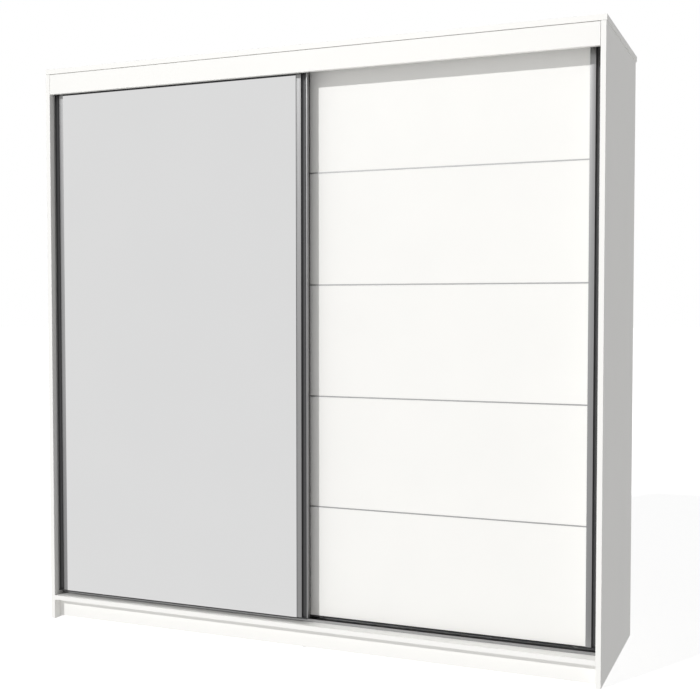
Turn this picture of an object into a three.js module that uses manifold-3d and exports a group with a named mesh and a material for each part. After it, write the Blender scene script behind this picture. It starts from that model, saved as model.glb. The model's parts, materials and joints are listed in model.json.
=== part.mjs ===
// A two-door sliding wardrobe: a white board carcass, a full-height mirror door in the front track,
// a five-panel white door in the rear track, aluminium handle profiles, tracks, rollers and guides.
// Millimetres, +Z up, +X to the right seen from the front, the front faces -Y.
// The origin is the middle of the base, on the floor.
import * as THREE from "three";
import { mergeVertices } from "three/addons/utils/BufferGeometryUtils.js";
import Module from "manifold-3d";

const wasm = await Module();
wasm.setup();

// ---- Driving dimensions ------------------------------------------------------------------------
const GAP = 0.3; // between pieces that touch
const CUT = 1; // how far a cutting or joined solid runs past a face

// Carcass
const CARCASS_WIDTH = 2000; // over the side panels
const TOP_OVERHANG = 2; // of the top panel past each side panel
const HEIGHT = 2000;
const DEPTH = 610; // of the top panel
const SIDE_DEPTH = 596;
const BOARD = 16;
const TOP_BOARD = 18;
const FASCIA_BOTTOM = 1910;
const FASCIA_TOP_JOINT = 2.2; // the open joint that shows as a line under the top panel
const FASCIA_END_JOINT = 1.2;
const SIDE_TOP_JOINT = 0.8; // between a side panel and the top panel
const FLOOR_TOP = 86; // top face of the bottom panel
const PLINTH_SETBACK = 32;
const PLINTH_CLEARANCE = 4;
const REAR_PLINTH_SETBACK = 30;
const BACK_SHEET = 3;
const BACK_SHEET_BOTTOM = 60;
const BACK_SHEET_INSET = 2; // from a side panel's outer face
const STRIP_FLANGE_HALF = 12; // half the width of the strip that joins the back sheets
const STRIP_FLANGE = 0.8;
const STRIP_WEB_HALF = 0.7;

// Doors
const DOOR_SIDE_GAP = 1.5; // between a closed door and its side panel
const DOOR_OVERLAP = 55;
const DOOR_BOTTOM = 101;
const DOOR_TOP = 1950;
const MIRROR_DOOR_SETBACK = 23; // of its handle profiles, behind the carcass front
const DOOR_PITCH = 40; // from one door's plane to the next
const DOOR_BOARD = 10;
const RAIL_SKIN = 1.2; // of the U-sections on a door board's lower and upper edges
const RAIL_LEG = 2.5;
const MIRROR_GLASS = 4;
const PANELS = 5;
const PANEL_PITCH = 371.1;
const FIRST_DIVIDER = 474.5; // height of the lowest divider strip
const DIVIDER_WEB_HALF = 0.6;
const DIVIDER_FLANGE = 0.9;
const DIVIDER_FACE_HALF = 1.8;
const DIVIDER_REAR_HALF = 5;

// Handle profile, as a section: across from the lip, and back from the front
const PROFILE_WIDTH = 40;
const LIP = 4;
const GROOVE_RADIUS = 9.25;
const CROWN = 0.6; // rise of the front face
const SKIN = 1.5;
const SLOT_FLOOR = 24; // where the board's edge stops
const PROFILE_DEPTH = CROWN + SKIN + GAP + DOOR_BOARD + GAP + SKIN;

// Tracks, rollers and guides
const RAIL_SETBACK = 53; // front running rib, behind the carcass front
const TRACK_WALL = 1.4;
const TRACK_WALL_HEIGHT = 9.3;
const TRACK_BASE = 1.6;
const RIB_WIDTH = 3;
const RIB_HEIGHT = 6.2; // above the bottom panel
const ROLLER_RADIUS = 14;
const ROLLER_ROOT = 12; // radius where the groove runs on the rib
const ROLLER_WIDTH = 7;
const ROLLER_GROOVE_HALF = 1.2;
const ROLLER_RIM = 1; // width of each rim beside the groove
const WELL_CLEARANCE = 2; // round the roller, in its housing
const AXLE_RADIUS = 3;
const CARRIAGE_INSET = 75; // from the door's edge to the axle
const CHANNEL_SETBACK = 39.5; // middle of the front top channel
const CHANNEL_WIDTH = 25;
const CHANNEL_HEIGHT = 30;
const GUIDE_RADIUS = 12.2;
const GUIDE_HEIGHT = 6;
const GUIDE_INSET = 70;
const PIN_END = 2; // of a guide's pin above its roller
const TRACK_FRONT_MARGIN = 6; // of the bottom track, in front of the front rib
const TRACK_REAR_MARGIN = 8; // of the bottom track, behind the rear rib
const CHANNEL_LIP = 1.5; // thickness of the top track's web and flanges

const PLATE_THICK = 3; // of a carriage's and a guide's plate on the back of the door
const CARRIAGE_PLATE_HALF = 30;
const CARRIAGE_PLATE_FROM = 118;
const CARRIAGE_PLATE_TO = 172;
const HOUSING_HALF = 24;
const HOUSING_TOP = 134;
const HOUSING_CLEARANCE = 3; // over the bottom track
const CHEEK = 1.8; // the housing's wall behind the roller
const HEEL_TOP = 108; // up to here the housing clears the lower edge rail
const HEEL_DEPTH = 2;
const GUIDE_PLATE_HALF = 20;
const GUIDE_PLATE_DROP = 45; // from the door's top to the plate's lower end
const GUIDE_TAB_RISE = 5; // from the door's top to the tab that the roller stands on
const GUIDE_TAB = 2;
const GUIDE_TAB_HALF = 9;
const GUIDE_NECK_LAP = 4; // of the stepped neck over the plate
const GUIDE_CHAMFER = 1;

// Inside
const INSIDE_SETBACK = 112; // front edge of the partition
const SHELF_SETBACK = 117;
const SHELF_REAR_GAP = 4;
const PARTITION_REAR_GAP = 1.5;
const HAT_SHELF = 1640; // underside
const FIRST_SHELF = 440; // underside
const SHELF_PITCH = 350;
const SHELVES = 4;
const RAIL_HEIGHT = 1590;
const RAIL_WIDTH = 15;
const RAIL_TALL = 30;
const RAIL_WALL = 1.2;
const SOCKET_PLATE = 3;
const SOCKET_PLATE_WIDTH = 26;
const SOCKET_PLATE_TALL = 54;
const SOCKET_CUP = 12; // how far a cup reaches from the board
const SOCKET_RIM = 2.5;

// Support feet
const FOOT_X = 6;
const FRONT_FOOT_SETBACK = 58;
const REAR_FOOT_SETBACK = 540;
const FOOT_BLOCK_HALF = 16;
const FOOT_BLOCK_DEPTH = 24;
const FOOT_BLOCK_BOTTOM = 34;
const PAD_RADIUS = 17;
const PAD_HEIGHT = 3.7;
const STEM_RADIUS = 5;
const STEM_TOP = 40;
const PAD_CHAMFER = 1.5;
const COLLAR_WIDTH = 2; // of the cone that joins the stem to its pad
const COLLAR_HEIGHT = 8;

// How finely the curves are drawn
const WELD = 1e-3; // corners nearer than this are one corner
const RIB_SEGMENTS = 6;
const OVAL_SEGMENTS = 10;
const GROOVE_SEGMENTS = 10;
const PIN_SEGMENTS = 20;
const PAD_SEGMENTS = 24;
const ROLLER_SEGMENTS = 28;

// ---- Derived places ----------------------------------------------------------------------------
const FRONT = -DEPTH / 2;
const behind = (distance) => FRONT + distance; // Y of a plane that far behind the carcass front
const INNER = CARCASS_WIDTH / 2 - BOARD; // X of a side panel's inner face
const UNDER_TOP = HEIGHT - TOP_BOARD;
const DOOR_WIDTH = (2 * INNER - 2 * DOOR_SIDE_GAP + DOOR_OVERLAP) / 2;
const INSIDE_REAR = SIDE_DEPTH - SHELF_REAR_GAP; // rear edge of the shelves
const BOARD_END = GAP + RAIL_SKIN + GAP; // from a door's end to its board, inside the edge rail
const PANE_END = GAP + RAIL_LEG + GAP; // from a door's end to its mirror pane
const BOARD_OFFSET = CROWN + SKIN + GAP; // a door board's face behind its profile's front

// ---- Finishes ----------------------------------------------------------------------------------
const finish = (color, roughness, metalness) => () =>
  new THREE.MeshStandardMaterial({ color, roughness, metalness });
const whiteBoard = finish(0xf8f7f3, 0.55, 0);
const backBoard = finish(0xefeee9, 0.7, 0);
const aluminium = finish(0xa9aaab, 0.35, 1);
const mirrorGlass = finish(0xe4e6e6, 0.03, 1);
const zincSteel = finish(0xa8abb0, 0.35, 1);
const greyPlastic = finish(0x8e9091, 0.5, 0);
const blackPlastic = finish(0x2b2b2c, 0.55, 0);
const chrome = finish(0xc9cbcc, 0.18, 1);
const nylon = finish(0xe3e1da, 0.45, 0);

// ---- Helpers -----------------------------------------------------------------------------------
const wardrobe = new THREE.Group();
wardrobe.name = "sliding_door_wardrobe";

function place(name, geometry, material) {
  const mesh = new THREE.Mesh(geometry, material());
  mesh.name = name;
  wardrobe.add(mesh);
}

// A box between two corners.
function boxBetween([x0, y0, z0], [x1, y1, z1]) {
  return new THREE.BoxGeometry(x1 - x0, y1 - y0, z1 - z0).translate(
    (x0 + x1) / 2,
    (y0 + y1) / 2,
    (z0 + z1) / 2,
  );
}

function solid(geometry) {
  const bare = geometry.clone();
  bare.deleteAttribute("normal");
  bare.deleteAttribute("uv");
  const merged = mergeVertices(bare, WELD);
  return new wasm.Manifold(
    new wasm.Mesh({
      numProp: 3,
      vertProperties: new Float32Array(merged.attributes.position.array),
      triVerts: new Uint32Array(merged.index.array),
    }),
  );
}

function geometryOf(manifold) {
  const mesh = manifold.getMesh();
  const geometry = new THREE.BufferGeometry();
  geometry.setAttribute("position", new THREE.BufferAttribute(mesh.vertProperties, 3));
  geometry.setIndex(new THREE.BufferAttribute(mesh.triVerts, 1));
  geometry.computeVertexNormals();
  return geometry;
}

// The first geometry joined with some pieces and then cut by others.
function shaped(first, joined, cut) {
  let result = solid(first);
  for (const piece of joined) result = result.add(solid(piece));
  for (const piece of cut) result = result.subtract(solid(piece));
  return geometryOf(result);
}

// A section drawn as (Y, Z), run along X between two places.
function runAlongX(section, x0, x1, curveSegments = RIB_SEGMENTS) {
  const geometry = new THREE.ExtrudeGeometry(section, {
    depth: x1 - x0,
    bevelEnabled: false,
    curveSegments,
  });
  const turn = new THREE.Matrix4().makeBasis(
    new THREE.Vector3(0, 1, 0),
    new THREE.Vector3(0, 0, 1),
    new THREE.Vector3(1, 0, 0),
  );
  return geometry.applyMatrix4(turn).translate(x0, 0, 0);
}

function outline(points) {
  return new THREE.Shape(points.map(([a, b]) => new THREE.Vector2(a, b)));
}

// A cylinder about an axis along "y" or "z", between two places on that axis.
function cylinder(radius, axis, from, to, [a, b]) {
  const geometry = new THREE.CylinderGeometry(radius, radius, to - from, PIN_SEGMENTS);
  if (axis === "y") return geometry.translate(a, (from + to) / 2, b);
  return geometry.rotateX(Math.PI / 2).translate(a, b, (from + to) / 2);
}

// ---- Carcass -----------------------------------------------------------------------------------
function board(name, low, high, material = whiteBoard) {
  place(name, boxBetween(low, high), material);
}

function carcass() {
  const half = CARCASS_WIDTH / 2;
  const clear = INNER - GAP;
  board(
    "top_panel",
    [-half - TOP_OVERHANG, FRONT, UNDER_TOP],
    [half + TOP_OVERHANG, FRONT + DEPTH, HEIGHT],
  );
  const sideTop = UNDER_TOP - SIDE_TOP_JOINT;
  board("left_side_panel", [-half, FRONT, 0], [-INNER, behind(SIDE_DEPTH), sideTop]);
  board("right_side_panel", [INNER, FRONT, 0], [half, behind(SIDE_DEPTH), sideTop]);
  board(
    "bottom_panel",
    [-clear, FRONT, FLOOR_TOP - BOARD],
    [clear, behind(SIDE_DEPTH), FLOOR_TOP],
  );
  board(
    "top_fascia",
    [-INNER + FASCIA_END_JOINT, FRONT, FASCIA_BOTTOM],
    [INNER - FASCIA_END_JOINT, behind(BOARD), UNDER_TOP - FASCIA_TOP_JOINT],
  );
  board(
    "front_plinth",
    [-clear, behind(PLINTH_SETBACK), PLINTH_CLEARANCE],
    [clear, behind(PLINTH_SETBACK + BOARD), FLOOR_TOP - BOARD - GAP],
  );
  board(
    "rear_plinth",
    [-clear, behind(SIDE_DEPTH - REAR_PLINTH_SETBACK - BOARD), PLINTH_CLEARANCE],
    [clear, behind(SIDE_DEPTH - REAR_PLINTH_SETBACK), FLOOR_TOP - BOARD - GAP],
  );
  board(
    "centre_partition",
    [-BOARD / 2, behind(INSIDE_SETBACK), FLOOR_TOP + GAP],
    [BOARD / 2, behind(SIDE_DEPTH - PARTITION_REAR_GAP), UNDER_TOP - GAP],
  );
}

// The back is two thin sheets held on the carcass's rear edges, with an H-section strip between them.
function back() {
  const edge = CARCASS_WIDTH / 2 - BACK_SHEET_INSET;
  const front = behind(SIDE_DEPTH + GAP);
  const rear = front + BACK_SHEET;
  const top = UNDER_TOP - GAP;
  const inside = STRIP_WEB_HALF + GAP;
  board(
    "back_panel_left",
    [-edge, front, BACK_SHEET_BOTTOM],
    [-inside, rear, top],
    backBoard,
  );
  board(
    "back_panel_right",
    [inside, front, BACK_SHEET_BOTTOM],
    [edge, rear, top],
    backBoard,
  );
  const z0 = FLOOR_TOP + GAP;
  const inner = boxBetween(
    [-STRIP_FLANGE_HALF, front - GAP - STRIP_FLANGE, z0],
    [STRIP_FLANGE_HALF, front - GAP, top],
  );
  const outer = boxBetween(
    [-STRIP_FLANGE_HALF, rear + GAP, z0],
    [STRIP_FLANGE_HALF, rear + GAP + STRIP_FLANGE, top],
  );
  const web = boxBetween(
    [-STRIP_WEB_HALF, front - GAP - STRIP_FLANGE, z0],
    [STRIP_WEB_HALF, rear + GAP, top],
  );
  place("back_joining_strip", shaped(web, [inner, outer], []), greyPlastic);
}

// ---- Inside fittings ---------------------------------------------------------------------------
function shelves() {
  const wall = BOARD / 2 + GAP;
  board(
    "left_hat_shelf",
    [-INNER + GAP, behind(SHELF_SETBACK), HAT_SHELF],
    [-wall, behind(INSIDE_REAR), HAT_SHELF + BOARD],
  );
  for (let i = 0; i < SHELVES; i++) {
    const z = FIRST_SHELF + i * SHELF_PITCH;
    board(
      `right_shelf_${i + 1}`,
      [wall, behind(SHELF_SETBACK), z],
      [INNER - GAP, behind(INSIDE_REAR), z + BOARD],
    );
  }
}

// An oval: two half circles joined by straight sides, in (Y, Z).
function oval(y, z, width, tall) {
  const r = width / 2;
  const shape = new THREE.Shape();
  shape.absarc(y, z + tall / 2 - r, r, 0, Math.PI, false);
  shape.absarc(y, z - tall / 2 + r, r, Math.PI, 2 * Math.PI, false);
  return shape;
}

function hangingRail() {
  const y = behind((SHELF_SETBACK + INSIDE_REAR) / 2);
  const left = -INNER + GAP;
  const right = -BOARD / 2 - GAP;
  const tube = oval(y, RAIL_HEIGHT, RAIL_WIDTH, RAIL_TALL);
  tube.holes.push(oval(y, RAIL_HEIGHT, RAIL_WIDTH - 2 * RAIL_WALL, RAIL_TALL - 2 * RAIL_WALL));
  place(
    "hanging_rail",
    runAlongX(tube, left + SOCKET_PLATE + GAP, right - SOCKET_PLATE - GAP, OVAL_SEGMENTS),
    chrome,
  );
  // Each socket is a plate on the board with a cup round the rail's end.
  const socket = (name, x, toward) => {
    const span = (a, b) => [Math.min(a, b), Math.max(a, b)];
    const [p0, p1] = span(x, x + toward * SOCKET_PLATE);
    const [c0, c1] = span(x, x + toward * SOCKET_CUP);
    const around = 2 * (SOCKET_RIM + GAP);
    const outer = oval(y, RAIL_HEIGHT, RAIL_WIDTH + around, RAIL_TALL + around);
    const bore = oval(y, RAIL_HEIGHT, RAIL_WIDTH + 2 * GAP, RAIL_TALL + 2 * GAP);
    const [b0, b1] = span(x + toward * SOCKET_PLATE, x + toward * (SOCKET_CUP + CUT));
    const flange = runAlongX(
      oval(y, RAIL_HEIGHT, SOCKET_PLATE_WIDTH, SOCKET_PLATE_TALL),
      p0,
      p1,
      OVAL_SEGMENTS,
    );
    const cup = runAlongX(outer, c0, c1, OVAL_SEGMENTS);
    const seat = runAlongX(bore, b0, b1, OVAL_SEGMENTS);
    place(name, shaped(flange, [cup], [seat]), chrome);
  };
  socket("rail_socket_left", left, 1);
  socket("rail_socket_right", right, -1);
}

// ---- Support feet ------------------------------------------------------------------------------
// A block under the bottom panel, against the plinth, with a threaded stem down to a round pad.
function foot(name, setback, blockFrom, blockTo) {
  const x = FOOT_X;
  const y = behind(setback);
  const under = FLOOR_TOP - BOARD - GAP;
  const profile = [
    [0, 0],
    [PAD_RADIUS, 0],
    [PAD_RADIUS, PAD_HEIGHT - PAD_CHAMFER],
    [PAD_RADIUS - PAD_CHAMFER, PAD_HEIGHT],
    [STEM_RADIUS + COLLAR_WIDTH, PAD_HEIGHT],
    [STEM_RADIUS, PAD_HEIGHT + COLLAR_HEIGHT],
    [STEM_RADIUS, STEM_TOP],
    [0, STEM_TOP],
  ].map(([r, z]) => new THREE.Vector2(r, z));
  const pad = new THREE.LatheGeometry(profile, PAD_SEGMENTS).rotateX(Math.PI / 2).translate(x, y, 0);
  const block = boxBetween(
    [x - FOOT_BLOCK_HALF, behind(blockFrom), FOOT_BLOCK_BOTTOM],
    [x + FOOT_BLOCK_HALF, behind(blockTo), under],
  );
  place(name, shaped(pad, [block], []), greyPlastic);
}

// ---- Tracks ------------------------------------------------------------------------------------
function tracks() {
  const x = INNER - GAP;
  const low = FLOOR_TOP + GAP;
  const front = behind(RAIL_SETBACK - TRACK_FRONT_MARGIN);
  const rear = behind(RAIL_SETBACK + DOOR_PITCH + TRACK_REAR_MARGIN);
  const base = low + TRACK_BASE;
  const wallTop = FLOOR_TOP + TRACK_WALL_HEIGHT;
  const ribTop = FLOOR_TOP + RIB_HEIGHT;
  const section = new THREE.Shape();
  section.moveTo(front, low);
  section.lineTo(rear, low);
  section.lineTo(rear, wallTop);
  section.lineTo(rear - TRACK_WALL, wallTop);
  section.lineTo(rear - TRACK_WALL, base);
  for (const setback of [RAIL_SETBACK + DOOR_PITCH, RAIL_SETBACK]) {
    const y = behind(setback);
    const r = RIB_WIDTH / 2;
    section.lineTo(y + r, base);
    section.lineTo(y + r, ribTop - r);
    section.absarc(y, ribTop - r, r, 0, Math.PI, false);
    section.lineTo(y - r, base);
  }
  section.lineTo(front + TRACK_WALL, base);
  section.lineTo(front + TRACK_WALL, wallTop);
  section.lineTo(front, wallTop);
  place("bottom_track", runAlongX(section, -x, x), aluminium);

  // The top track is a web under the top panel with a pair of flanges for each door.
  const web = UNDER_TOP - GAP;
  const lip = CHANNEL_LIP;
  const half = CHANNEL_WIDTH / 2;
  const bottom = web - CHANNEL_HEIGHT + GAP;
  const points = [[behind(CHANNEL_SETBACK) - half - 2 * lip, web]];
  points.push([behind(CHANNEL_SETBACK) - half - 2 * lip, web - lip]);
  for (const setback of [CHANNEL_SETBACK, CHANNEL_SETBACK + DOOR_PITCH]) {
    for (const side of [-1, 1]) {
      const inner = behind(setback) + side * half;
      const outer = inner + side * lip;
      const [a, b] = side < 0 ? [outer, inner] : [inner, outer];
      points.push([a, web - lip], [a, bottom], [b, bottom], [b, web - lip]);
    }
  }
  const end = behind(CHANNEL_SETBACK + DOOR_PITCH) + half + 2 * lip;
  points.push([end, web - lip], [end, web]);
  place("top_track", runAlongX(outline(points), -x, x), aluminium);
}

// ---- Doors -------------------------------------------------------------------------------------
// The handle profile's section in (X, Y): lip, finger groove and crowned face, hollow behind the
// groove, with a slot that takes the board's edge. outward is the side that the lip is on.
function handleSection(edge, outward, front) {
  const at = (across, back) => [edge - outward * across, front + back];
  const faceStart = LIP + 2 * GROOVE_RADIUS;
  const faceMid = (faceStart + PROFILE_WIDTH) / 2;
  const slotBack = PROFILE_DEPTH - SKIN;
  const section = new THREE.Shape();
  section.moveTo(...at(0, 0));
  section.lineTo(...at(LIP, 0));
  const centre = at(LIP + GROOVE_RADIUS, 0);
  if (outward > 0) section.absarc(...centre, GROOVE_RADIUS, 0, Math.PI, false);
  else section.absarc(...centre, GROOVE_RADIUS, Math.PI, 0, true);
  section.lineTo(...at(faceStart, CROWN));
  section.quadraticCurveTo(...at(faceMid, -CROWN), ...at(PROFILE_WIDTH, CROWN));
  section.lineTo(...at(PROFILE_WIDTH, CROWN + SKIN));
  section.lineTo(...at(SLOT_FLOOR, CROWN + SKIN));
  section.lineTo(...at(SLOT_FLOOR, slotBack));
  section.lineTo(...at(PROFILE_WIDTH, slotBack));
  section.lineTo(...at(PROFILE_WIDTH, PROFILE_DEPTH));
  section.lineTo(...at(0, PROFILE_DEPTH));
  return section;
}

function handleProfile(name, edge, outward, front) {
  const geometry = new THREE.ExtrudeGeometry(handleSection(edge, outward, front), {
    depth: DOOR_TOP - DOOR_BOTTOM,
    bevelEnabled: false,
    curveSegments: GROOVE_SEGMENTS,
  }).translate(0, 0, DOOR_BOTTOM);
  place(name, geometry, aluminium);
}

// A U-section that caps the board's lower or upper edge between the handle profiles.
function edgeRail(name, x0, x1, face, z, up) {
  const skin = RAIL_SKIN;
  const height = RAIL_LEG;
  const f = face - GAP;
  const r = face + DOOR_BOARD + GAP;
  const points = [
    [f - skin, z],
    [r + skin, z],
    [r + skin, z + up * height],
    [r, z + up * height],
    [r, z + up * skin],
    [f, z + up * skin],
    [f, z + up * height],
    [f - skin, z + up * height],
  ];
  place(name, runAlongX(outline(points), x0, x1), blackPlastic);
}

// A roller carriage on the back of the door: a plate, a housing round the roller and the axle pin.
function carriage(door, side, x, front) {
  const plateFront = front + BOARD_OFFSET + DOOR_BOARD + GAP;
  const middle = front - MIRROR_DOOR_SETBACK + RAIL_SETBACK;
  const axle = FLOOR_TOP + RIB_HEIGHT + GAP + ROLLER_ROOT;
  const half = ROLLER_WIDTH / 2;
  const wellHalf = ROLLER_RADIUS + WELL_CLEARANCE;
  const low = FLOOR_TOP + TRACK_WALL_HEIGHT + HOUSING_CLEARANCE;
  const plate = boxBetween(
    [x - CARRIAGE_PLATE_HALF, plateFront, CARRIAGE_PLATE_FROM],
    [x + CARRIAGE_PLATE_HALF, plateFront + PLATE_THICK, CARRIAGE_PLATE_TO],
  );
  const housing = boxBetween(
    [x - HOUSING_HALF, plateFront, low],
    [x + HOUSING_HALF, middle + half + GAP + CHEEK, HOUSING_TOP],
  );
  const well = boxBetween(
    [x - wellHalf, middle - half - GAP, low - CUT],
    [x + wellHalf, middle + half + GAP, axle + wellHalf],
  );
  // Near the door's lower end the housing steps back behind the edge rail.
  const heel = boxBetween(
    [x - HOUSING_HALF - CUT, plateFront - CUT, low - CUT],
    [x + HOUSING_HALF + CUT, plateFront + HEEL_DEPTH, HEEL_TOP],
  );
  const pin = cylinder(AXLE_RADIUS, "y", middle - half - CUT, middle + half + CUT, [x, axle]);
  const geometry = geometryOf(
    solid(housing)
      .add(solid(plate))
      .subtract(solid(heel))
      .subtract(solid(well))
      .add(solid(pin)),
  );
  place(`${door}_${side}_carriage`, geometry, blackPlastic);

  const bore = AXLE_RADIUS + GAP;
  const rim = [
    [bore, -half],
    [ROLLER_RADIUS, -half],
    [ROLLER_RADIUS, -half + ROLLER_RIM],
    [ROLLER_ROOT, -ROLLER_GROOVE_HALF],
    [ROLLER_ROOT, ROLLER_GROOVE_HALF],
    [ROLLER_RADIUS, half - ROLLER_RIM],
    [ROLLER_RADIUS, half],
    [bore, half],
    [bore, -half],
  ].map(([r, y]) => new THREE.Vector2(r, y));
  const roller = new THREE.LatheGeometry(rim, ROLLER_SEGMENTS).translate(x, middle, axle);
  place(`${door}_${side}_roller`, roller, nylon);
}

// A top guide: an angle plate on the back of the door and a roller on an upright pin.
function guide(door, side, x, front) {
  const plateFront = front + BOARD_OFFSET + DOOR_BOARD + GAP;
  const middle = front - MIRROR_DOOR_SETBACK + CHANNEL_SETBACK;
  const tab = DOOR_TOP + GUIDE_TAB_RISE;
  // The plate lies on the board and steps back over the upper edge rail.
  const step = RAIL_SKIN + GAP;
  const rail = DOOR_TOP - RAIL_LEG - CUT;
  const plate = boxBetween(
    [x - GUIDE_PLATE_HALF, plateFront, DOOR_TOP - GUIDE_PLATE_DROP],
    [x + GUIDE_PLATE_HALF, plateFront + PLATE_THICK, rail],
  );
  const neck = boxBetween(
    [x - GUIDE_PLATE_HALF, plateFront + step, rail - GUIDE_NECK_LAP],
    [x + GUIDE_PLATE_HALF, plateFront + step + GUIDE_TAB, tab + CUT],
  );
  const shelf = boxBetween(
    [x - GUIDE_PLATE_HALF, middle - GUIDE_TAB_HALF, tab],
    [x + GUIDE_PLATE_HALF, middle + GUIDE_TAB_HALF, tab + GUIDE_TAB],
  );
  const low = tab + GUIDE_TAB + GAP;
  const high = low + GUIDE_HEIGHT;
  const pin = cylinder(AXLE_RADIUS, "z", tab + CUT, high + PIN_END, [x, middle]);
  place(
    `${door}_${side}_guide`,
    shaped(plate, [neck, shelf, pin], []),
    zincSteel,
  );
  const bore = AXLE_RADIUS + GAP;
  const rim = [
    [bore, low],
    [GUIDE_RADIUS - GUIDE_CHAMFER, low],
    [GUIDE_RADIUS, low + GUIDE_CHAMFER],
    [GUIDE_RADIUS, high - GUIDE_CHAMFER],
    [GUIDE_RADIUS - GUIDE_CHAMFER, high],
    [bore, high],
    [bore, low],
  ].map(([r, z]) => new THREE.Vector2(r, z));
  const wheel = new THREE.LatheGeometry(rim, ROLLER_SEGMENTS).rotateX(Math.PI / 2);
  place(`${door}_${side}_guide_roller`, wheel.translate(x, middle, 0), nylon);
}

// What both doors share. left is the X of the door's left edge.
function doorHardware(door, left, setback) {
  const right = left + DOOR_WIDTH;
  const front = behind(setback);
  const face = front + BOARD_OFFSET;
  handleProfile(`${door}_left_profile`, left, -1, front);
  handleProfile(`${door}_right_profile`, right, 1, front);
  const x0 = left + PROFILE_WIDTH + GAP;
  const x1 = right - PROFILE_WIDTH - GAP;
  edgeRail(`${door}_bottom_rail`, x0, x1, face, DOOR_BOTTOM + GAP, 1);
  edgeRail(`${door}_top_rail`, x0, x1, face, DOOR_TOP - GAP, -1);
  carriage(door, "left", left + CARRIAGE_INSET, front);
  carriage(door, "right", right - CARRIAGE_INSET, front);
  guide(door, "left", left + GUIDE_INSET, front);
  guide(door, "right", right - GUIDE_INSET, front);
}

function mirrorDoor() {
  const left = -INNER + DOOR_SIDE_GAP;
  const right = left + DOOR_WIDTH;
  const face = behind(MIRROR_DOOR_SETBACK) + BOARD_OFFSET;
  const seat = SLOT_FLOOR + GAP;
  board(
    "mirror_backing_board",
    [left + seat, face, DOOR_BOTTOM + BOARD_END],
    [right - seat, face + DOOR_BOARD, DOOR_TOP - BOARD_END],
  );
  const inset = PROFILE_WIDTH + GAP;
  place(
    "mirror_pane",
    boxBetween(
      [left + inset, face - GAP - MIRROR_GLASS, DOOR_BOTTOM + PANE_END],
      [right - inset, face - GAP, DOOR_TOP - PANE_END],
    ),
    mirrorGlass,
  );
  doorHardware("mirror_door", left, MIRROR_DOOR_SETBACK);
}

function panelDoor() {
  const setback = MIRROR_DOOR_SETBACK + DOOR_PITCH;
  const right = INNER - DOOR_SIDE_GAP;
  const left = right - DOOR_WIDTH;
  const face = behind(setback) + BOARD_OFFSET;
  const seat = SLOT_FLOOR + GAP;
  const inset = PROFILE_WIDTH + GAP;
  for (let i = 0; i < PANELS; i++) {
    const above = FIRST_DIVIDER + i * PANEL_PITCH - DIVIDER_WEB_HALF - GAP;
    const below = FIRST_DIVIDER + (i - 1) * PANEL_PITCH + DIVIDER_WEB_HALF + GAP;
    board(
      `door_panel_${i + 1}`,
      [left + seat, face, i === 0 ? DOOR_BOTTOM + BOARD_END : below],
      [right - seat, face + DOOR_BOARD, i === PANELS - 1 ? DOOR_TOP - BOARD_END : above],
    );
  }
  // An H-section strip between each pair of panels, narrow in front and wide behind.
  for (let i = 0; i < PANELS - 1; i++) {
    const z = FIRST_DIVIDER + i * PANEL_PITCH;
    const f = face - GAP;
    const r = face + DOOR_BOARD + GAP;
    const points = [
      [f - DIVIDER_FLANGE, z - DIVIDER_FACE_HALF],
      [f, z - DIVIDER_FACE_HALF],
      [f, z - DIVIDER_WEB_HALF],
      [r, z - DIVIDER_WEB_HALF],
      [r, z - DIVIDER_REAR_HALF],
      [r + DIVIDER_FLANGE, z - DIVIDER_REAR_HALF],
      [r + DIVIDER_FLANGE, z + DIVIDER_REAR_HALF],
      [r, z + DIVIDER_REAR_HALF],
      [r, z + DIVIDER_WEB_HALF],
      [f, z + DIVIDER_WEB_HALF],
      [f, z + DIVIDER_FACE_HALF],
      [f - DIVIDER_FLANGE, z + DIVIDER_FACE_HALF],
    ];
    place(
      `divider_strip_${i + 1}`,
      runAlongX(outline(points), left + inset, right - inset),
      aluminium,
    );
  }
  doorHardware("panel_door", left, setback);
}

carcass();
back();
shelves();
hangingRail();
const frontPlinthRear = PLINTH_SETBACK + BOARD;
const rearPlinthFront = SIDE_DEPTH - REAR_PLINTH_SETBACK - BOARD;
foot(
  "centre_front_foot",
  FRONT_FOOT_SETBACK,
  frontPlinthRear + GAP,
  frontPlinthRear + FOOT_BLOCK_DEPTH,
);
foot(
  "centre_rear_foot",
  REAR_FOOT_SETBACK,
  rearPlinthFront - FOOT_BLOCK_DEPTH,
  rearPlinthFront - GAP,
);
tracks();
mirrorDoor();
panelDoor();

export default wardrobe;
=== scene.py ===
"""A two-door sliding wardrobe: finishes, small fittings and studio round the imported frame. Metres."""
import json
import math
import random

import bmesh
import bpy
from mathutils import Matrix, Vector


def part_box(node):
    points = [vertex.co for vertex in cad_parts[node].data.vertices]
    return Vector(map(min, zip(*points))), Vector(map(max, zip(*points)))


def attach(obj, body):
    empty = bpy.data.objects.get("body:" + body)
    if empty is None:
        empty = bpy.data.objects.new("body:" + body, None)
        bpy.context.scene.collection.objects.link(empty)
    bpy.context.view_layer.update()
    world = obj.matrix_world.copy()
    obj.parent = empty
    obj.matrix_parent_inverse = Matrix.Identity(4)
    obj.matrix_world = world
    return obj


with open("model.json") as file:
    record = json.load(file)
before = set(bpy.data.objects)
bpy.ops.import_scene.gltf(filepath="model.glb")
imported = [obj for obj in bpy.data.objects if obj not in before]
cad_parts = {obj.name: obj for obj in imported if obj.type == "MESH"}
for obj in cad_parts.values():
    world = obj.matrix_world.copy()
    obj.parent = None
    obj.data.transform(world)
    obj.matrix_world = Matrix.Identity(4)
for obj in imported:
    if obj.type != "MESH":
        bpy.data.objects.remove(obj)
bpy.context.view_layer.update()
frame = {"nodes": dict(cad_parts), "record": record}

random.seed(7)
MM = 0.001
TOUCH = 0.1 * MM  # how far a fitting stands off the face it lies on
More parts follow.
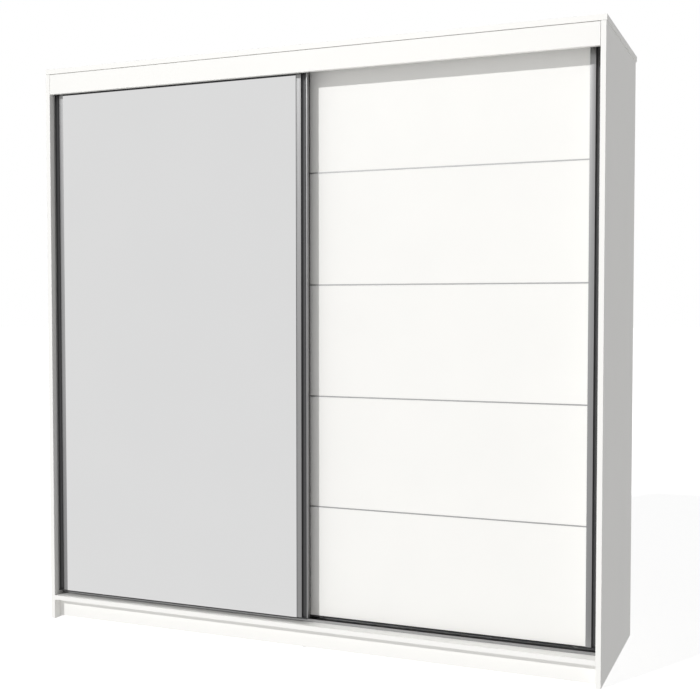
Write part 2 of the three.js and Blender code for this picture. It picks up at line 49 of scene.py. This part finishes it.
DOORS = ("mirror_door", "panel_door")
SIDES = ("left", "right")
NODES = [row["node"] for row in frame["record"]["subparts"]]
SLOTS = {row["node"]: row["material_slot"] for row in frame["record"]["subparts"]}

# ---- Places taken from the frame ---------------------------------------------------------------
UNDER_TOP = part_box("top_panel")[0][2]
SIDE_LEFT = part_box("left_side_panel")
SIDE_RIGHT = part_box("right_side_panel")
FLOOR_LOW, FLOOR_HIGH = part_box("bottom_panel")
INNER_LEFT, INNER_RIGHT = SIDE_LEFT[1][0], SIDE_RIGHT[0][0]


# ---- Node helpers ------------------------------------------------------------------------------
def feed(links, source, socket):
    """Links an output to a socket, or sets the socket to a number."""
    if isinstance(source, float):
        socket.default_value = source
    else:
        links.new(source, socket)


def arithmetic(tree, operation, first, second=0.0):
    node = tree.nodes.new("ShaderNodeMath")
    node.operation = operation
    feed(tree.links, first, node.inputs[0])
    feed(tree.links, second, node.inputs[1])
    return node.outputs["Value"]


NOISE_LOW, NOISE_HIGH = 0.3, 0.7  # nearly all of a noise texture's values lie between these


class Tree:
    """A material's node tree, with the nodes that the finishes below are built from."""

    def __init__(self, name):
        self.material = bpy.data.materials.new(name)
        self.material.use_nodes = True
        self.nodes = self.material.node_tree.nodes
        self.links = self.material.node_tree.links
        self.shader = self.nodes["Principled BSDF"]
        self.place = self.nodes.new("ShaderNodeTexCoord").outputs["Object"]

    def link(self, source, target):
        self.links.new(source, target)

    def stretched(self, scale):
        node = self.nodes.new("ShaderNodeMapping")
        node.inputs["Scale"].default_value = scale
        self.link(self.place, node.inputs["Vector"])
        return node.outputs["Vector"]

    def noise(self, scale, detail, roughness=0.5, stretch=None):
        node = self.nodes.new("ShaderNodeTexNoise")
        node.inputs["Scale"].default_value = scale
        node.inputs["Detail"].default_value = detail
        node.inputs["Roughness"].default_value = roughness
        self.link(self.stretched(stretch) if stretch else self.place, node.inputs["Vector"])
        return node.outputs["Fac"]

    def between(self, value, low, high, source_low=NOISE_LOW, source_high=NOISE_HIGH):
        node = self.nodes.new("ShaderNodeMapRange")
        node.inputs["From Min"].default_value = source_low
        node.inputs["From Max"].default_value = source_high
        node.inputs["To Min"].default_value = low
        node.inputs["To Max"].default_value = high
        self.link(value, node.inputs["Value"])
        return node.outputs["Result"]

    def blended(self, factor, first, second):
        """Mixes two colours, each of them a constant or an output."""
        node = self.nodes.new("ShaderNodeMix")
        node.data_type = "RGBA"
        for socket, source in ((node.inputs[6], first), (node.inputs[7], second)):
            if isinstance(source, tuple):
                socket.default_value = (*source, 1)
            else:
                self.link(source, socket)
        self.link(factor, node.inputs[0])
        return node.outputs[2]

    def mixed_value(self, factor, first, second):
        node = self.nodes.new("ShaderNodeMix")
        self.link(first, node.inputs[2])
        self.link(second, node.inputs[3])
        self.link(factor, node.inputs[0])
        return node.outputs[0]

    def product(self, first, second):
        return arithmetic(self, "MULTIPLY", first, second)

    def distance(self, value, place):
        return arithmetic(self, "ABSOLUTE", arithmetic(self, "SUBTRACT", value, place))

    def axis(self, name):
        node = self.nodes.new("ShaderNodeSeparateXYZ")
        self.link(self.place, node.inputs[0])
        return node.outputs[name]

    def bump(self, height, distance, strength, under=None):
        node = self.nodes.new("ShaderNodeBump")
        node.inputs["Distance"].default_value = distance
        node.inputs["Strength"].default_value = strength
        self.link(height, node.inputs["Height"])
        if under is not None:
            self.link(under, node.inputs["Normal"])
        return node.outputs["Normal"]

    def finish(self, colour, roughness, normal):
        self.link(colour, self.shader.inputs["Base Color"])
        self.link(roughness, self.shader.inputs["Roughness"])
        self.link(normal, self.shader.inputs["Normal"])
        return self.material


# ---- Finishes ----------------------------------------------------------------------------------
def melamine(name, bright, dull, rough):
    """White melamine: a faint cloudiness in the paper, a pearl texture and fine pores."""
    tree = Tree(name)
    cloud = tree.noise(scale=5.0, detail=4.0)
    colour = tree.blended(tree.between(cloud, 0, 1), bright, dull)
    pearl = tree.noise(scale=900.0, detail=2.0)
    pores = tree.noise(scale=3200.0, detail=1.0)
    normal = tree.bump(pearl, distance=0.03 * MM, strength=0.5)
    normal = tree.bump(pores, distance=0.01 * MM, strength=0.4, under=normal)
    return tree.finish(colour, tree.between(pearl, *rough), normal)


def fibreboard(name, bright, dull, rough):
    tree = Tree(name)
    fibres = tree.noise(scale=260.0, detail=5.0, roughness=0.65)
    colour = tree.blended(tree.between(fibres, 0, 1), bright, dull)
    normal = tree.bump(fibres, distance=0.06 * MM, strength=0.6)
    return tree.finish(colour, tree.between(fibres, *rough), normal)


# Coats of anodised aluminium: a bright and a dull colour, and the range of its roughness. The darkest
# pair is no coat but painted shade for a handle profile's finger groove and sides.
SATIN = ((0.350, 0.350, 0.350), (0.315, 0.315, 0.318))
PALE_SATIN = ((0.46, 0.46, 0.46), (0.42, 0.42, 0.425))
# Painted shade: the darker colour of a handle profile's finger groove and sides.
RECESS_PAINTED_SHADE = ((0.115, 0.115, 0.117), (0.100, 0.100, 0.102))
SATIN_ROUGH = (0.30, 0.42)
RECESS_ROUGH = (0.48, 0.60)
DRAWN = 0.004  # scale of the drawing lines along the metal, where it is 1 across

# Where the painted shade lies, behind a handle profile's front and in from its outer edge.
RECESS_FROM = 1.2 * MM
RECESS_FULL = 3.5 * MM
RECESS_TO = 13.9 * MM
FLANK_TO = 0.4 * MM
FLANK_CLEAR = 1.2 * MM


def anodised(name, along, coat=SATIN, groove=None):
    """Satin anodised aluminium, drawn along one axis: 0 for X, 2 for Z.

    A handle profile has painted shade, and a rougher finish, in its finger groove and on its
    sides. groove holds the X of the profile's outer edge and the Y of its front, in its own
    coordinates.
    """
    tree = Tree(name)
    stretch = [1.0, 1.0, 1.0]
    stretch[along] = DRAWN
    lines = tree.noise(scale=2600.0, detail=3.0, roughness=0.6, stretch=stretch)
    broad = tree.between(tree.noise(scale=380.0, detail=2.0, stretch=stretch), 0, 1)
    colour = tree.blended(broad, *coat)
    roughness = tree.between(lines, *SATIN_ROUGH)
    if groove is not None:
        edge, front = groove
        depth = tree.axis("Y")
        from_edge = tree.distance(tree.axis("X"), edge)
        into = tree.between(depth, 0, 1, front + RECESS_FROM, front + RECESS_FULL)
        past = tree.between(depth, 1, 0, front + RECESS_TO, front + RECESS_TO + TOUCH)
        off_flank = tree.between(from_edge, 0, 1, FLANK_TO, FLANK_CLEAR)
        # Painted shade: the profile is darker behind its front face, except along its outer edge.
        painted_shade = tree.product(tree.product(into, past), off_flank)
        colour = tree.blended(painted_shade, colour, tree.blended(broad, *RECESS_PAINTED_SHADE))
        roughness = tree.mixed_value(painted_shade, roughness, tree.between(lines, *RECESS_ROUGH))
    tree.shader.inputs["Metallic"].default_value = 1.0
    return tree.finish(colour, roughness, tree.bump(lines, distance=0.02 * MM, strength=0.5))


def silvered(name, bright, dull, rough):
    """Mirror glass: clean silvering, with the least waviness that float glass has."""
    tree = Tree(name)
    haze = tree.noise(scale=3.0, detail=2.0)
    colour = tree.blended(tree.between(haze, 0, 1), bright, dull)
    tree.shader.inputs["Metallic"].default_value = 1.0
    normal = tree.bump(haze, distance=0.01 * MM, strength=0.1)
    return tree.finish(colour, tree.between(haze, *rough), normal)


def metal(name, bright, dull, rough, grain):
    tree = Tree(name)
    marks = tree.noise(scale=grain, detail=4.0, roughness=0.6)
    colour = tree.blended(tree.between(marks, 0, 1), bright, dull)
    tree.shader.inputs["Metallic"].default_value = 1.0
    normal = tree.bump(marks, distance=0.01 * MM, strength=0.3)
    return tree.finish(colour, tree.between(marks, *rough), normal)


def moulded(name, bright, dull, rough):
    """Plastic or rubber with the fine spark texture of its mould."""
    tree = Tree(name)
    spark = tree.noise(scale=1400.0, detail=2.0)
    broad = tree.noise(scale=40.0, detail=3.0)
    colour = tree.blended(tree.between(broad, 0, 1), bright, dull)
    normal = tree.bump(spark, distance=0.04 * MM, strength=0.5)
    return tree.finish(colour, tree.between(spark, *rough), normal)


# Each finish has a bright and a dull colour and the range of its roughness.
WHITE = melamine("white_board", (0.960, 0.952, 0.925), (0.945, 0.938, 0.912), (0.40, 0.50))
DIVIDER_ALUMINIUM = anodised("aluminium_divider", 0, PALE_SATIN)
CHROME = metal("chrome", (0.80, 0.81, 0.82), (0.74, 0.75, 0.76), (0.06, 0.13), 300.0)
ZINC = metal("zinc_steel", (0.66, 0.68, 0.71), (0.54, 0.55, 0.58), (0.28, 0.45), 120.0)
BLACK = moulded("black_plastic", (0.030, 0.030, 0.032), (0.022, 0.022, 0.024), (0.45, 0.6))
# Deep black: the brush seals' pile, and also painted shadow in the joint above the panel door's lower
# rail.
DEEP_BLACK = moulded("pile", (0.012, 0.012, 0.013), (0.006, 0.006, 0.007), (0.85, 0.95))
MATERIALS = {
    "white_board": WHITE,
    "aluminium": anodised("aluminium_track", 0),
    "back_sheet": fibreboard("back_sheet", (0.80, 0.79, 0.76), (0.74, 0.73, 0.70), (0.62, 0.78)),
    "mirror_glass": silvered("mirror_glass", (0.862,) * 3, (0.852, 0.853, 0.854), (0.010, 0.016)),
    "chrome": CHROME,
    "zinc_steel": ZINC,
    "grey_plastic": moulded("grey_plastic", (0.30, 0.305, 0.31), (0.26, 0.265, 0.27), (0.42, 0.55)),
    "black_plastic": BLACK,
    "nylon": moulded("nylon", (0.78, 0.77, 0.72), (0.72, 0.71, 0.66), (0.30, 0.42)),
}


def profile_finish(node):
    low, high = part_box(node)
    outer = high[0] if "right" in node else low[0]
    own = frame["nodes"][node].matrix_world.inverted() @ Vector((outer, low[1], low[2]))
    # Each handle profile's own material carries painted shade in its groove.
    return anodised(f"aluminium_{node}", 2, groove=(own.x, own.y))


def material_of(node):
    if node.endswith("_profile"):
        return profile_finish(node)
    if node.startswith("divider_strip"):
        return DIVIDER_ALUMINIUM
    return MATERIALS[SLOTS[node]]


# Edges: boards have banded edges with a small radius, drawn metal has a crisp one.
EDGE_RADIUS = {
    "white_board": 0.6 * MM,
    "back_sheet": 0.2 * MM,
    "mirror_glass": 0.5 * MM,
    "black_plastic": 0.5 * MM,
    "grey_plastic": 0.3 * MM,
}
SHARP = math.radians(50)  # faces that meet at more than this get a rounded edge


def dress(node):
    piece = frame["nodes"][node]
    material = material_of(node)
    if piece.material_slots:
        for slot in piece.material_slots:
            slot.material = material
    else:
        piece.data.materials.append(material)
    radius = EDGE_RADIUS.get(SLOTS[node])
    if radius:
        bevel = piece.modifiers.new("edge", "BEVEL")
        bevel.width = radius
        bevel.segments = 2
        bevel.limit_method = "ANGLE"
        bevel.angle_limit = SHARP
        bevel.use_clamp_overlap = True
        bevel.harden_normals = False


for node_name in NODES:
    dress(node_name)


# ---- Small fittings ----------------------------------------------------------------------------
SMALL_ROUND, ROUND, LARGE_ROUND = 16, 20, 28  # how many sides a turned shape has
NAIL_ROUND = 12


def piece_from(name, bm, material, body):
    mesh = bpy.data.meshes.new(name)
    bmesh.ops.recalc_face_normals(bm, faces=bm.faces)
    bm.to_mesh(mesh)
    bm.free()
    mesh.materials.append(material)
    piece = bpy.data.objects.new(name, mesh)
    bpy.context.scene.collection.objects.link(piece)
    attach(piece, body)


def turn_to(normal):
    """A rotation that takes +Z to the given direction."""
    return Vector((0, 0, 1)).rotation_difference(Vector(normal)).to_matrix().to_4x4()


def add_turned(bm, profile, place, normal, segments):
    """A turned shape: profile is (radius, height) from the axis at the base to the axis on top."""
    frame_of = Matrix.Translation(place) @ turn_to(normal)
    rings = []
    for radius, height in profile:
        if radius == 0:
            rings.append([bm.verts.new(frame_of @ Vector((0, 0, height)))])
            continue
        ring = []
        for i in range(segments):
            angle = 2 * math.pi * i / segments
            at = Vector((radius * math.cos(angle), radius * math.sin(angle), height))
            ring.append(bm.verts.new(frame_of @ at))
        rings.append(ring)
    for lower, upper in zip(rings, rings[1:]):
        for i in range(segments):
            j = (i + 1) % segments
            corners = [lower[i % len(lower)], lower[j % len(lower)]]
            corners += [upper[j % len(upper)], upper[i % len(upper)]]
            unique = list(dict.fromkeys(corners))
            if len(unique) > 2:
                bm.faces.new(unique)


def screw_profile(radius, rise):
    """A pan head with a round recess for the driver."""
    recess = 0.42 * radius
    return [
        (0, 0),
        (radius, 0),
        (radius, 0.45 * rise),
        (0.88 * radius, 0.8 * rise),
        (0.62 * radius, rise),
        (recess, rise),
        (0.8 * recess, 0.35 * rise),
        (0, 0.3 * rise),
    ]


def cap_profile(radius, rise):
    return [(0, 0), (radius, 0), (radius, 0.6 * rise), (0.93 * radius, rise), (0, 1.05 * rise)]


def fittings(name, profile, places, normal, material, body, segments=ROUND):
    """The same turned fitting at several places, as one piece."""
    bm = bmesh.new()
    for place in places:
        add_turned(bm, profile, Vector(place) + TOUCH * Vector(normal), normal, segments)
    piece_from(name, bm, material, body)


def add_lofted(bm, outlines):
    """A skin over a row of closed outlines, with both ends capped."""
    rings = [[bm.verts.new(point) for point in points] for points in outlines]
    for lower, upper in zip(rings, rings[1:]):
        for i in range(len(lower)):
            j = (i + 1) % len(lower)
            bm.faces.new([lower[i], lower[j], upper[j], upper[i]])
    bm.faces.new(rings[0])
    bm.faces.new(rings[-1])


# Brush seals along the back of every handle profile.
PILE_DEPTH = 10 * MM
PILE_WIDTH = 5 * MM
PILE_PITCH = 2 * MM
PILE_INSET = 0.5 * MM  # from the profile's outer edge


def brush_seal(name, body, x, y, low, high):
    """A strip of pile, ridged along its length, standing back from a handle profile."""
    steps = int((high - low) / PILE_PITCH)
    outlines = []
    for i in range(steps + 1):
        z = low + (high - low) * i / steps
        tuft = (0.85 if i % 2 else 1.0) * (1 + 0.06 * (random.random() - 0.5))
        half = PILE_WIDTH / 2 * tuft
        back = y + PILE_DEPTH * (0.96 if i % 2 else 1.0)
        section = [(x - half, y), (x + half, y), (x + 0.8 * half, back), (x - 0.8 * half, back)]
        outlines.append([(px, py, z) for px, py in section])
    bm = bmesh.new()
    add_lofted(bm, outlines)
    piece_from(name, bm, DEEP_BLACK, body)


for door in DOORS:
    for side in SIDES:
        low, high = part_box(f"{door}_{side}_profile")
        inset = PILE_WIDTH / 2 + PILE_INSET
        x = high[0] - inset if side == "right" else low[0] + inset
        brush_seal(f"{door}_{side}_brush_seal", door, x, high[1] + TOUCH, low[2], high[2])

# Black trims along the mirror's upper and lower edges. The lower one covers the rail and reaches below
# it: partly trim, partly painted shadow for the gap under the door.
TRIM_REACH = 0.9 * MM  # in front of the glass
TRIM_SHOWS = 4.8 * MM  # of the upper trim, below the fascia
TRIM_TALL = 14 * MM
TRIM_END = 0.3 * MM  # short of the node's ends
# How far the lower trim reaches below the rail, as painted shadow under the door.
UNDER_DOOR_SHADOW_DROP = 1.2 * MM


def edge_trim(name, door, along, front, bottom, top, back, material=BLACK):
    """A strip with chamfered front corners, as long as the node that it lies along."""
    low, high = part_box(along)
    crown = 0.35 * TRIM_REACH
    section = [
        (back, bottom),
        (front + crown, bottom),
        (front, bottom + crown),
        (front, top - crown),
        (front + crown, top),
        (back, top),
    ]
    ends = (low[0] + TRIM_END, high[0] - TRIM_END)
    bm = bmesh.new()
    add_lofted(bm, [[(x, y, z) for y, z in section] for x in ends])
    piece_from(name, bm, material, door)


PANE_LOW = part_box("mirror_pane")[0]
LOWER_RAIL_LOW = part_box("mirror_door_bottom_rail")[0]
UPPER_TRIM_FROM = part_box("top_fascia")[0][2] - TRIM_SHOWS
TRIM_FRONT = PANE_LOW[1] - TOUCH - TRIM_REACH
edge_trim("mirror_upper_trim", "mirror_door", "mirror_pane", TRIM_FRONT,
          UPPER_TRIM_FROM, UPPER_TRIM_FROM + TRIM_TALL, PANE_LOW[1] - TOUCH)
# The lower trim: black over the rail, and below it painted shadow.
edge_trim("mirror_lower_trim_and_shadow", "mirror_door", "mirror_pane", TRIM_FRONT,
          LOWER_RAIL_LOW[2] - UNDER_DOOR_SHADOW_DROP, PANE_LOW[2] - TOUCH, LOWER_RAIL_LOW[1] - TOUCH)

# A deep black strip along the joint between the lowest panel and the rail along its lower edge is
# painted shadow for that joint.
JOINT_SHADOW_TALL = 1.5 * MM
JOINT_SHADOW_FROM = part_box("panel_door_bottom_rail")[1][2] + TOUCH
PANEL_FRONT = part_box("door_panel_1")[0][1]
edge_trim("panel_joint_shadow", "panel_door", "panel_door_bottom_rail", PANEL_FRONT - TOUCH - TRIM_REACH,
          JOINT_SHADOW_FROM, JOINT_SHADOW_FROM + JOINT_SHADOW_TALL, PANEL_FRONT - TOUCH, DEEP_BLACK)

# Every screw's head: its radius and how far it stands up.
CAP_SCREW = (2.2 * MM, 1.2 * MM)
CARRIAGE_SCREW = (3.6 * MM, 2 * MM)
GUIDE_SCREW = (3.2 * MM, 2 * MM)
SOCKET_SCREW = (2.6 * MM, 1.4 * MM)

# Moulded caps on both ends of every handle profile, each with a chamfered rim and a screw.
CAP_SKIRT = 3.6 * MM  # how far a cap laps over its profile
CAP_PLATE = 1.0 * MM
CAP_REACH = 0.3 * MM  # in front of the profile
CAP_CHAMFER = 0.5 * MM


def end_cap(node, door, up):
    low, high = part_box(node)
    end = high[2] if up > 0 else low[2]
    levels = [end - up * CAP_SKIRT, end + up * (CAP_PLATE - CAP_CHAMFER), end + up * CAP_PLATE]
    outlines = []
    for z, inset in zip(levels, (0, 0, CAP_CHAMFER)):
        x0, x1 = low[0] + TOUCH + inset, high[0] - TOUCH - inset
        y0, y1 = low[1] - CAP_REACH + inset, high[1] - TOUCH - inset
        corner = y0 + CAP_CHAMFER
        outline = [(x0 + CAP_CHAMFER, y0), (x1 - CAP_CHAMFER, y0), (x1, corner), (x1, y1)]
        outline += [(x0, y1), (x0, corner)]
        outlines.append([(x, y, z) for x, y in outline])
    bm = bmesh.new()
    add_lofted(bm, outlines)
    level = "upper" if up > 0 else "lower"
    piece_from(f"{node}_{level}_cap", bm, BLACK, door)
    middle = ((low[0] + high[0]) / 2, (low[1] + high[1]) / 2, end + up * CAP_PLATE)
    fittings(f"{node}_{level}_cap_screw", screw_profile(*CAP_SCREW), [middle], (0, 0, up),
             ZINC, door)


for door in DOORS:
    for side in SIDES:
        end_cap(f"{door}_{side}_profile", door, -1)
        end_cap(f"{door}_{side}_profile", door, 1)

# Screws through the roller carriages and the top guides into the doors.
PLATE_BACK = 1.8 * MM  # where the heads sit, behind the back of the handle profiles
CARRIAGE_SCREW_STEP = 20 * MM
CARRIAGE_SCREW_DROP = 12 * MM  # below the carriage's top
GUIDE_SCREW_STEP = 12 * MM
GUIDE_SCREW_RISE = 14 * MM  # above the guide's lower end


def plate_screws(plate, door, back, z, steps, size):
    """Screws through a plate on the back of a door, at steps to both sides of its middle."""
    low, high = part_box(plate)
    middle = (low[0] + high[0]) / 2
    places = [(middle + step, back, z) for step in steps]
    fittings(f"{plate}_screws", screw_profile(*size), places, (0, 1, 0), ZINC, door)


for door in DOORS:
    for side in SIDES:
        carriage, guide = f"{door}_{side}_carriage", f"{door}_{side}_guide"
        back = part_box(f"{door}_{side}_profile")[1][1] + PLATE_BACK
        plate_screws(carriage, door, back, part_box(carriage)[1][2] - CARRIAGE_SCREW_DROP,
                     (-CARRIAGE_SCREW_STEP, 0, CARRIAGE_SCREW_STEP), CARRIAGE_SCREW)
        plate_screws(guide, door, back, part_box(guide)[0][2] + GUIDE_SCREW_RISE,
                     (-GUIDE_SCREW_STEP, GUIDE_SCREW_STEP), GUIDE_SCREW)

# Metal pins under the ends of each shelf.
PIN_RADIUS = 2.5 * MM
PIN_LENGTH = 9 * MM
PIN_INSET = 40 * MM  # from a shelf's front and rear edges
PIN_START = 0.2 * MM  # past the shelf's end


def pin_rows(shelf):
    """The Y of a shelf's front and rear pins, and the height of their middles."""
    low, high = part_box(shelf)
    return (low[1] + PIN_INSET, high[1] - PIN_INSET), low[2] - PIN_RADIUS - TOUCH


def shelf_pins(shelf):
    low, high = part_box(shelf)
    rows, z = pin_rows(shelf)
    profile = [
        (0, 0),
        (PIN_RADIUS, 0),
        (PIN_RADIUS, 0.8 * PIN_LENGTH),
        (0.7 * PIN_RADIUS, PIN_LENGTH),
        (0, PIN_LENGTH),
    ]
    bm = bmesh.new()
    for y in rows:
        add_turned(bm, profile, Vector((low[0] - PIN_START, y, z)), (1, 0, 0), SMALL_ROUND)
        add_turned(bm, profile, Vector((high[0] + PIN_START, y, z)), (-1, 0, 0), SMALL_ROUND)
    piece_from(f"{shelf}_pins", bm, CHROME, "carcass")


SHELF_NODES = [n for n in NODES if "shelf" in n]
for shelf in SHELF_NODES:
    shelf_pins(shelf)

# Free pin holes above and below each shelf, as thin dark discs on the boards' faces: the black paints
# the shade inside the holes.
HOLE_PITCH = 32 * MM
HOLE_STEPS = (-2, -1, 1, 2)
BOARD_FACE = 0.3 * MM  # past the shelf's end


def pin_holes(shelf):
    low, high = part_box(shelf)
    rows, z = pin_rows(shelf)
    for side, x, toward in (("left", low[0] - BOARD_FACE, 1), ("right", high[0] + BOARD_FACE, -1)):
        places = [(x, y, z + step * HOLE_PITCH) for y in rows for step in HOLE_STEPS]
        fittings(f"{shelf}_{side}_holes", cap_profile(PIN_RADIUS, TOUCH), places,
                 (toward, 0, 0), BLACK, "carcass", SMALL_ROUND)


for shelf in SHELF_NODES:
    pin_holes(shelf)

# Screws in the hanging rail's sockets.
SOCKET_PLATE = 3 * MM
SOCKET_SCREW_INSET = 5 * MM  # from the plate's upper and lower ends

for side, toward in (("left", 1), ("right", -1)):
    low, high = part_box(f"rail_socket_{side}")
    x = low[0] + SOCKET_PLATE if toward > 0 else high[0] - SOCKET_PLATE
    y = (low[1] + high[1]) / 2
    places = [(x, y, high[2] - SOCKET_SCREW_INSET), (x, y, low[2] + SOCKET_SCREW_INSET)]
    fittings(f"rail_socket_{side}_screws", screw_profile(*SOCKET_SCREW), places,
             (toward, 0, 0), CHROME, "carcass")

# Nails that hold the back sheets to the carcass's rear edges.
NAIL_PITCH = 150 * MM
NAIL_HEAD = (2.4 * MM, 0.5 * MM)  # radius and rise
NAIL_FROM_MIDDLE = 25 * MM


def nail_row(start, end):
    count = max(2, round((Vector(end) - Vector(start)).length / NAIL_PITCH))
    return [Vector(start).lerp(Vector(end), (i + 0.5) / count) for i in range(count)]


for side, sign in (("left", -1), ("right", 1)):
    low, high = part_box(f"back_panel_{side}")
    rear = high[1]
    outer = sign * (SIDE_RIGHT[0][0] + SIDE_RIGHT[1][0]) / 2
    inner = sign * NAIL_FROM_MIDDLE
    floor_z = (FLOOR_LOW[2] + FLOOR_HIGH[2]) / 2
    places = nail_row((outer, rear, low[2]), (outer, rear, high[2]))
    places += nail_row((inner, rear, floor_z), (outer, rear, floor_z))
    fittings(f"back_nails_{side}", cap_profile(*NAIL_HEAD), places, (0, 1, 0),
             ZINC, "carcass", NAIL_ROUND)

# White plastic caps over the joining fittings, on the inner faces of the side panels.
COVER_CAP = (7 * MM, 0.8 * MM)  # radius and rise
COVER_DEPTHS = (160 * MM, 540 * MM)  # behind the carcass's front
COVER_DROP = 300 * MM  # of the upper pair, below the top panel
COVER_RISE = 30 * MM  # of the lower pair, above the bottom panel

for side, x, toward in (("left", INNER_LEFT, 1), ("right", INNER_RIGHT, -1)):
    heights = (UNDER_TOP - COVER_DROP, FLOOR_HIGH[2] + COVER_RISE)
    places = [(x, SIDE_LEFT[0][1] + depth, z) for z in heights for depth in COVER_DEPTHS]
    fittings(f"cover_caps_{side}", cap_profile(*COVER_CAP), places, (toward, 0, 0),
             WHITE, "carcass", LARGE_ROUND)

# ---- Studio ------------------------------------------------------------------------------------
bpy.context.scene.view_settings.view_transform = "Standard"
bpy.context.scene.view_settings.look = "None"

FLOOR_GLOW = 0.62  # lifts the floor toward white, as an evenly lit studio sweep is
FLOOR_RADIUS = 60
FLOOR_DROP = 0.5 * MM


def floor():
    bm = bmesh.new()
    bmesh.ops.create_circle(bm, cap_ends=True, segments=96, radius=FLOOR_RADIUS)
    mesh = bpy.data.meshes.new("floor")
    bm.to_mesh(mesh)
    bm.free()
    tree = Tree("floor")
    soft = tree.noise(scale=0.8, detail=2.0)
    colour = tree.blended(tree.between(soft, 0, 1), (0.93, 0.93, 0.93), (0.92, 0.92, 0.92))
    tree.link(colour, tree.shader.inputs["Base Color"])
    tree.shader.inputs["Emission Color"].default_value = (1, 1, 1, 1)
    tree.shader.inputs["Emission Strength"].default_value = FLOOR_GLOW
    tree.shader.inputs["Roughness"].default_value = 0.9
    tree.shader.inputs["Specular IOR Level"].default_value = 0.1
    mesh.materials.append(tree.material)
    plane = bpy.data.objects.new("floor", mesh)
    plane.location.z = -FLOOR_DROP
    # The floor is seen by the camera only, so that its bounce doesn't wash out the undersides.
    plane.visible_diffuse = False
    plane.visible_glossy = False
    bpy.context.scene.collection.objects.link(plane)


# How bright the studio is, by where a ray goes. Diffuse surfaces see a bright lower half, as over a
# white floor, and a dimmer upper one. Shiny ones see a level band round the horizon. A flag shades
# the right-hand side. The spans are heights, or X for the flag, of a direction of length 1.
SKY_UP, SKY_DOWN = 0.38, 0.88
HORIZON = (-0.12, 0.12)
SHINE_UP, SHINE_LEVEL, SHINE_DOWN = 1.25, 0.83, 0.16
SHINE_LOW_SPAN = (-0.60, -0.32)
SHINE_HIGH_SPAN = (0.28, 0.75)
FLAG = 0.66  # share of the light that the flag lets past
FLAG_SPAN = (0.30, 0.85)
BACKDROP = 1.0


def sky():
    world = bpy.data.worlds.new("studio")
    world.use_nodes = True
    tree = world.node_tree
    direction = tree.nodes.new("ShaderNodeSeparateXYZ")
    tree.links.new(tree.nodes.new("ShaderNodeTexCoord").outputs["Generated"], direction.inputs[0])
    path = tree.nodes.new("ShaderNodeLightPath")

    def ramp(axis, span, low, high):
        node = tree.nodes.new("ShaderNodeMapRange")
        node.interpolation_type = "SMOOTHSTEP"
        for socket, value in zip(node.inputs[1:5], (*span, low, high)):
            socket.default_value = value
        tree.links.new(direction.outputs[axis], node.inputs["Value"])
        return node.outputs["Result"]

    def chosen(ray, when, otherwise):
        node = tree.nodes.new("ShaderNodeMix")
        tree.links.new(path.outputs[ray], node.inputs[0])
        feed(tree.links, otherwise, node.inputs[2])
        feed(tree.links, when, node.inputs[3])
        return node.outputs[0]

    flag = ramp("X", FLAG_SPAN, 1.0, FLAG)
    soft = arithmetic(tree, "MULTIPLY", ramp("Z", HORIZON, SKY_DOWN, SKY_UP), flag)
    lower = ramp("Z", SHINE_LOW_SPAN, SHINE_DOWN, SHINE_LEVEL)
    upper = ramp("Z", SHINE_HIGH_SPAN, 0.0, SHINE_UP - SHINE_LEVEL)
    shine = arithmetic(tree, "MULTIPLY", arithmetic(tree, "ADD", lower, upper), flag)
    background = tree.nodes["Background"]
    strength = chosen("Is Camera Ray", BACKDROP, chosen("Is Glossy Ray", shine, soft))
    tree.links.new(strength, background.inputs["Strength"])
    background.inputs["Color"].default_value = (1, 1, 1, 1)
    bpy.context.scene.world = world


KEY_TRAVEL = (0.54, 1.0, -0.64)  # the way that the key light shines
KEY_STRENGTH = 1.68
KEY_WIDTH = math.radians(1.5)


def key_light():
    light = bpy.data.lights.new("key", "SUN")
    light.energy = KEY_STRENGTH
    light.angle = KEY_WIDTH
    lamp = bpy.data.objects.new("key", light)
    lamp.rotation_euler = Vector(KEY_TRAVEL).to_track_quat("-Z", "Y").to_euler()
    bpy.context.scene.collection.objects.link(lamp)


LENS = 56.766
SENSOR = 36
EYE = (1.55492, -3.60089, 1.14185)
EYE_TILT = math.radians(87.796)  # from straight down
EYE_TURN = math.radians(22.501)


def camera():
    lens = bpy.data.cameras.new("camera")
    lens.lens = LENS
    lens.sensor_width = SENSOR
    eye = bpy.data.objects.new("camera", lens)
    eye.location = EYE
    eye.rotation_euler = (EYE_TILT, 0, EYE_TURN)
    bpy.context.scene.collection.objects.link(eye)
    bpy.context.scene.camera = eye


floor()
sky()
key_light()
camera()
